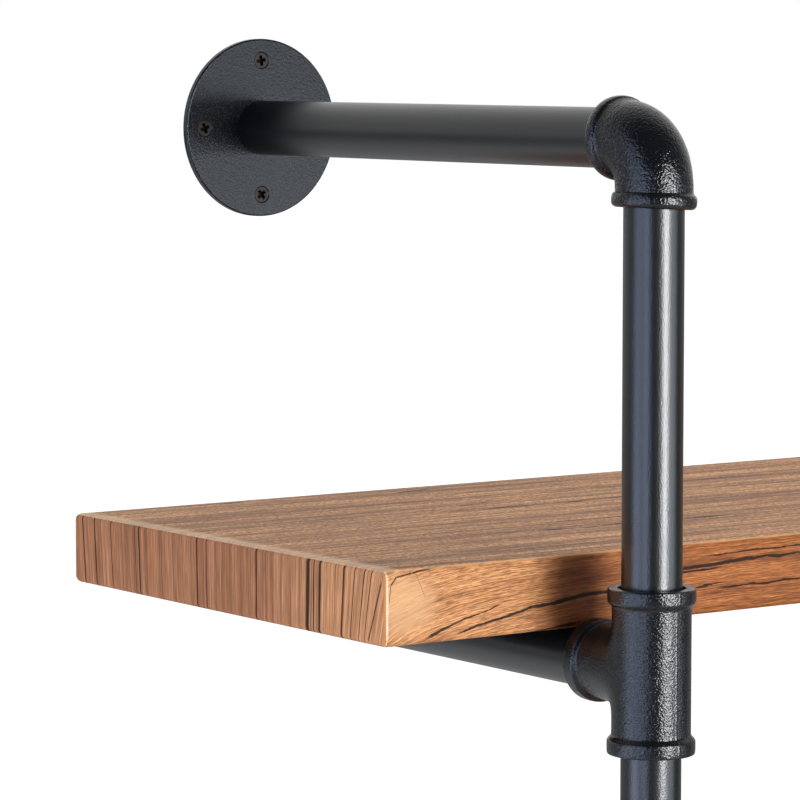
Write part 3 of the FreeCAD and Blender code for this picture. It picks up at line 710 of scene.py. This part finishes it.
# %% Rings
SIDES = 16
CAGE_SHARE = 3 / (2 + math.cos(2 * math.pi / SIDES))
SOCKET_RADIUS = 12.75
MOUTH_RADIUS = 14.2
NEAR = 0.01


def start_ring(name, radius, place, turn):
    """A new object in edit mode that holds one ring."""
    bpy.ops.object.select_all(action="DESELECT")
    bpy.ops.mesh.primitive_circle_add(vertices=SIDES, radius=radius * CAGE_SHARE * MM,
                                      location=[part * MM for part in place], rotation=turn)
    bpy.ops.object.transform_apply(location=True, rotation=True, scale=True)
    bpy.context.object.name = name
    bpy.ops.object.mode_set(mode="EDIT")
    bpy.ops.mesh.select_all(action="SELECT")


def pick(test):
    """Selects the vertices of the cage whose places, in millimetres, pass the test."""
    bpy.ops.object.mode_set(mode="OBJECT")
    mesh = bpy.context.object.data
    for group in (mesh.polygons, mesh.edges):
        group.foreach_set("select", [False] * len(group))
    for vertex in mesh.vertices:
        vertex.select = test(*(vertex.co / MM))
    bpy.ops.object.mode_set(mode="EDIT")
    bpy.ops.mesh.select_mode(type="VERT")


def grow(axis, last, profile):
    """Grows the picked ring along the axis through each (reach, radius) of the profile."""
    axis = Vector(axis)
    for reach, radius in profile:
        step = axis * (reach - last[0]) * MM
        bpy.ops.mesh.extrude_region_move(TRANSFORM_OT_translate={"value": step})
        bpy.ops.transform.resize(value=(radius / last[1],) * 3, center_override=axis * reach * MM)
        last = (reach, radius)
    bpy.ops.mesh.edge_face_add()


def mouth(reach, face_radius):
    """The profile of a socket, from the rim of its mouth to its bottom."""
    return [(reach, face_radius), (reach, MOUTH_RADIUS + 0.4), (reach - 0.2, MOUTH_RADIUS),
            (reach - 2.4, MOUTH_RADIUS), (reach - 3.0, MOUTH_RADIUS - 0.3),
            (reach - 3.0, SOCKET_RADIUS + 0.2), (reach - 3.6, SOCKET_RADIUS), (reach - 12.5, SOCKET_RADIUS)]


def smooth_cage(levels):
    """Turns the cage into the finished surface and leaves edit mode."""
    bpy.ops.mesh.select_all(action="SELECT")
    bpy.ops.mesh.normals_make_consistent(inside=False)
    bpy.ops.object.mode_set(mode="OBJECT")
    casting = bpy.context.object
    smoothing = casting.modifiers.new("smoothing", "SUBSURF")
    smoothing.levels = levels
    smoothing.render_levels = levels
    bpy.ops.object.modifier_apply(modifier=smoothing.name)
    bpy.ops.object.shade_smooth()
    return casting


def place_copies(model, finish, places):
    """Copies the model to each node's place, with a half turn about Y where it hangs upside down."""
    model.data.materials.append(finish)
    for node, place, upside_down in places:
        piece = model.copy()
        piece.data = model.data.copy()
        piece.name = f"{node}_piece"
        scene.collection.objects.link(piece)
        piece.location = place
        piece.rotation_euler.y = math.pi if upside_down else 0.0
        bpy.ops.object.select_all(action="DESELECT")
        piece.select_set(True)
        bpy.context.view_layer.objects.active = piece
        bpy.ops.object.transform_apply(location=True, rotation=True, scale=True)
        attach(piece, "root")
        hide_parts(node)
        print(piece.name, len(piece.data.polygons), "faces")
    bpy.data.objects.remove(model)


print("ring tools ready")

# %% [markdown]
# ## Elbows
# The bend is one ring spun a quarter turn. From each end of it the ring grows into a rounded bead, over
# the rim and back into the socket. The bead round the upright came out of its mould slightly askew, so
# its rings are turned by a few degrees before the cage is smoothed.

# %% Elbows
BEND = 19.0
BODY = 16.2
BEAD = 17.75
BEAD_LENGTH = 5.9
ARM_REACH = 25.5
UPRIGHT_REACH = 28.5
ASKEW = math.radians(3.2)


def bead(reach):
    return [(reach - BEAD_LENGTH, BEAD - 0.5), (reach - 4.8, BEAD), (reach - 2.4, BEAD),
            (reach - 0.9, BEAD - 0.35), (reach - 0.1, BEAD - 1.6)] + mouth(reach, MOUTH_RADIUS + 1.1)


neck = [(UPRIGHT_REACH - 7.2, BODY), (UPRIGHT_REACH - 6.4, BODY + 0.1)]
start_ring("elbow", BODY, (0, BEND, 0), (math.pi / 2, 0, 0))
bpy.ops.mesh.spin(steps=8, angle=-math.pi / 2, center=(0, BEND * MM, -BEND * MM), axis=(1, 0, 0))
pick(lambda x, y, z: abs(z + BEND) < NEAR)
grow((0, 0, -1), (BEND, BODY), neck + bead(UPRIGHT_REACH))
pick(lambda x, y, z: abs(y - BEND) < NEAR and z > -BEND + 0.5)
grow((0, 1, 0), (BEND, BODY), bead(ARM_REACH))
pick(lambda x, y, z: z < 1.0 - UPRIGHT_REACH + BEAD_LENGTH)
bpy.ops.transform.rotate(value=-ASKEW, orient_axis="Y", center_override=(0, 0, (3.0 - UPRIGHT_REACH) * MM))
elbow = smooth_cage(3)

elbow_places = []
for hand in ("left", "right"):
    low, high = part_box(f"{hand}_upper_upright")
    axis = (low + high) / 2
    axis.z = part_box(f"{hand}_top_elbow")[0].z + UPRIGHT_REACH * MM
    elbow_places.append((f"{hand}_top_elbow", axis.copy(), False))
    axis.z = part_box(f"{hand}_bottom_elbow")[1].z - UPRIGHT_REACH * MM
    elbow_places.append((f"{hand}_bottom_elbow", axis.copy(), True))
place_copies(elbow, elbow_black, elbow_places)

# %% [markdown]
# ## Tees
# Run and branch are nearly the same size, so they meet in two mitres, half ellipses that rise at 45
# degrees from the sides of the run. The cage starts with them: the back half of a ring, turned up and
# stretched, and the same turned down. From each pair of halves a ring grows out to a mouth, with a
# chamfered band round it.

# %% Tees
RUN = 16.6
BRANCH = 16.0
RUN_REACH = 34.8
BRANCH_REACH = 38.0
RUN_BAND = 18.5
BRANCH_BAND = 17.7
BAND_LENGTH = 6.0
CROTCH = 22.5


def banded_mouth(reach, body, radius):
    neck = reach - BAND_LENGTH - (radius - body)
    chamfer = [(neck - 0.6, body), (neck + 0.3, body + 0.1), (reach - 6.2, radius - 0.1)]
    rim = [(reach - 5.3, radius), (reach - 0.9, radius), (reach - 0.1, radius - 0.25), (reach, radius - 1.2)]
    return chamfer + rim + mouth(reach, MOUTH_RADIUS + 1.4)


start_ring("tee", RUN, (0, 0, 0), (0, 0, 0))
for turn in (math.radians(45), math.radians(-45)):
    pick(lambda x, y, z: y > -NEAR and abs(z) < NEAR)
    if turn > 0:
        bpy.ops.mesh.duplicate_move()
    bpy.ops.transform.rotate(value=-turn, orient_axis="X", center_override=(0, 0, 0))
    bpy.ops.transform.resize(value=(1, math.sqrt(2), math.sqrt(2)), center_override=(0, 0, 0))
bpy.ops.mesh.select_all(action="SELECT")
bpy.ops.mesh.remove_doubles(threshold=NEAR * MM)
for up in (1, -1):
    pick(lambda x, y, z: z * up > -NEAR and abs(z) < CROTCH - 1)
    bpy.ops.mesh.extrude_region_move()
    bpy.ops.transform.resize(value=(1, 1, 0), center_override=(0, 0, CROTCH * up * MM))
pick(lambda x, y, z: y > -NEAR and abs(z) < CROTCH - 1)
bpy.ops.mesh.extrude_region_move()
bpy.ops.transform.resize(value=(1, 0, 1), center_override=(0, CROTCH * MM, 0))
grow((0, 1, 0), (CROTCH, RUN), [(CROTCH + 1.5, BRANCH)] + banded_mouth(BRANCH_REACH, BRANCH, BRANCH_BAND))
for up in (1, -1):
    pick(lambda x, y, z: abs(z - CROTCH * up) < NEAR and math.hypot(x, y) < RUN * CAGE_SHARE + 0.1)
    grow((0, 0, up), (CROTCH, RUN), banded_mouth(RUN_REACH, RUN, RUN_BAND))
tee = smooth_cage(3)
print("tee", len(tee.data.polygons), "faces")

# %% [markdown]
# ## Mould seam
# The two halves of a sand mould never close quite tight, and the metal that runs between them leaves a
# thin ridge. It shows down the front of each tee. The edges there are bevelled into a narrow strip, and
# the middle of the strip is pulled forward.

# %% Mould seam
SEAM_WIDTH = 0.30
SEAM_HEIGHT = 0.22

bpy.context.view_layer.objects.active = tee
bpy.ops.object.mode_set(mode="EDIT")
pick(lambda x, y, z: abs(x) < NEAR and y < -RUN + 0.3)
bpy.ops.mesh.bevel(offset=SEAM_WIDTH * MM, segments=2, affect="EDGES")
pick(lambda x, y, z: abs(x) < NEAR and y < -RUN + 0.3)
bpy.ops.transform.translate(value=(0, -SEAM_HEIGHT * MM, 0))
bpy.ops.object.mode_set(mode="OBJECT")

tee_places = []
for node in nodes:
    if node.endswith("_tee"):
        low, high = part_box(node)
        centre = Vector(((low.x + high.x) / 2, low.y + RUN_BAND * MM, (low.z + high.z) / 2))
        tee_places.append((node, centre, False))
place_copies(tee, tee_black, tee_places)

# %% [markdown]
# ## Wall screws
# A countersunk wood screw is turned from wire and its cross is punched. Here a ring grows down from the
# rim of the head to the tip, a tapered blade is cut out of the head twice, and a small triangle, swept
# round the shank by a screw modifier, makes the thread.

# %% Wall screws
HEAD_RADIUS = 3.6
SCREW_PROFILE = [(0.12, 3.75), (0.30, 3.75), (1.75, 2.2), (2.40, 2.1), (2.9, 1.65), (12.0, 1.6), (15.6, 0.25)]
BLADE_SIZE = Vector((6.8, 1.9, 4.0))
TAPER_ALONG = 0.45
TAPER_ACROSS = 0.8
THREAD_SIZE = 0.45
THREAD_RADIUS = 1.68
THREAD_START = 12.2
THREAD_PITCH = 1.5
THREAD_TURNS = 6


def screw_model():
    bpy.ops.object.select_all(action="DESELECT")
    bpy.ops.mesh.primitive_circle_add(vertices=40, radius=HEAD_RADIUS * MM, fill_type="NGON")
    screw = bpy.context.object
    screw.name = "wall_screw"
    bpy.ops.object.mode_set(mode="EDIT")
    bpy.ops.mesh.select_all(action="SELECT")
    grow((0, 0, -1), (0, HEAD_RADIUS), SCREW_PROFILE)
    bpy.ops.mesh.select_all(action="SELECT")
    bpy.ops.mesh.normals_make_consistent(inside=False)
    bpy.ops.object.mode_set(mode="OBJECT")
    return screw


def punch_cross(screw):
    """Cuts the cross and gives its walls the second material, painted black as shade in the recess."""
    for turn in (0, math.pi / 2):
        bpy.ops.object.select_all(action="DESELECT")
        bpy.ops.mesh.primitive_cube_add(size=1, rotation=(0, 0, turn))
        blade = bpy.context.object
        blade.scale = BLADE_SIZE * MM
        bpy.ops.object.transform_apply(location=True, rotation=True, scale=True)
        bpy.ops.object.mode_set(mode="EDIT")
        pick(lambda x, y, z: z < 0)
        taper = (TAPER_ACROSS, TAPER_ALONG, 1) if turn else (TAPER_ALONG, TAPER_ACROSS, 1)
        bpy.ops.transform.resize(value=taper, center_override=(0, 0, 0))
        bpy.ops.object.mode_set(mode="OBJECT")
        cut = screw.modifiers.new("cross", "BOOLEAN")
        cut.object = blade
        cut.operation = "DIFFERENCE"
        bpy.context.view_layer.objects.active = screw
        bpy.ops.object.modifier_apply(modifier=cut.name)
        bpy.data.objects.remove(blade)
    for face in screw.data.polygons:
        x, y, z = face.center / MM
        face.material_index = int(-2.1 < z < -0.1 and math.hypot(x, y) < 3.2 + 0.75 * z)


def cut_thread(screw):
    bpy.ops.object.select_all(action="DESELECT")
    bpy.ops.mesh.primitive_circle_add(vertices=3, radius=THREAD_SIZE * MM,
                                      rotation=(math.pi / 2, math.pi / 6, 0),
                                      location=(THREAD_RADIUS * MM, 0, -THREAD_START * MM))
    bpy.ops.object.transform_apply(location=True, rotation=True, scale=True)
    thread = bpy.context.object
    sweep = thread.modifiers.new("sweep", "SCREW")
    sweep.screw_offset = THREAD_PITCH * MM
    sweep.iterations = THREAD_TURNS
    sweep.steps = 24
    sweep.render_steps = 24
    bpy.ops.object.modifier_apply(modifier=sweep.name)
    screw.select_set(True)
    bpy.context.view_layer.objects.active = screw
    bpy.ops.object.join()


wall_screw = screw_model()
wall_screw.data.materials.append(phosphate)
wall_screw.data.materials.append(painted_recess_shade)
punch_cross(wall_screw)
cut_thread(wall_screw)
bpy.ops.object.shade_smooth_by_angle(angle=math.radians(35))
print("wall screw", len(wall_screw.data.polygons), "faces")

# %% [markdown]
# ## Four screws to a flange
# The screw is copied to the top, right, bottom and left of each flange, and the four become one piece.
# Every screw was driven by hand, so no two crosses stand at the same angle.

# %% Four screws to a flange
HEAD_TOP = 2.65
SCREW_CIRCLE = 31.5
CROSS_TURNS = (-19, 34, 11, -9)
TURN_PER_FLANGE = 29

flanges = [node for node in nodes if node.endswith("_wall_flange")]
for order, flange in enumerate(flanges):
    low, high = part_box(flange)
    centre = Vector(((low.x + high.x) / 2, -HEAD_TOP * MM, (low.z + high.z) / 2))
    bpy.ops.object.select_all(action="DESELECT")
    for quarter, turn in enumerate(CROSS_TURNS):
        copy = wall_screw.copy()
        copy.data = wall_screw.data.copy()
        scene.collection.objects.link(copy)
        way = math.radians(90 * quarter)
        offset = Vector((math.sin(way), 0, math.cos(way))) * SCREW_CIRCLE * MM
        driven = Matrix.Rotation(math.radians(turn + TURN_PER_FLANGE * order), 4, "Z")
        facing_front = Matrix.Rotation(math.pi / 2, 4, "X")
        copy.matrix_world = Matrix.Translation(centre + offset) @ facing_front @ driven
        copy.select_set(True)
        bpy.context.view_layer.objects.active = copy
    bpy.ops.object.transform_apply(location=True, rotation=True, scale=True)
    bpy.ops.object.join()
    piece = bpy.context.object
    node = flange.replace("wall_flange", "wall_screws")
    piece.name = f"{node}_piece"
    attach(piece, "root")
    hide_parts(node)
    print(piece.name, len(piece.data.polygons), "faces")
bpy.data.objects.remove(wall_screw)

# %% [markdown]
# ## Dress the solids
# The other solids already have the right shape. Each takes the finish of its material slot.

# %% Dress the solids
FINISHES = {"tube": tube_black, "flange": flange_black, "fitting": tee_black, "wall_screw": phosphate,
            "bolt": zinc, "insert": turned_steel, "plug": black_plastic, "shelf": foil_finish}
for entry in frame["record"]["subparts"]:
    mesh = nodes[entry["node"]].data
    mesh.materials.clear()
    mesh.materials.append(FINISHES[entry["material_slot"]])
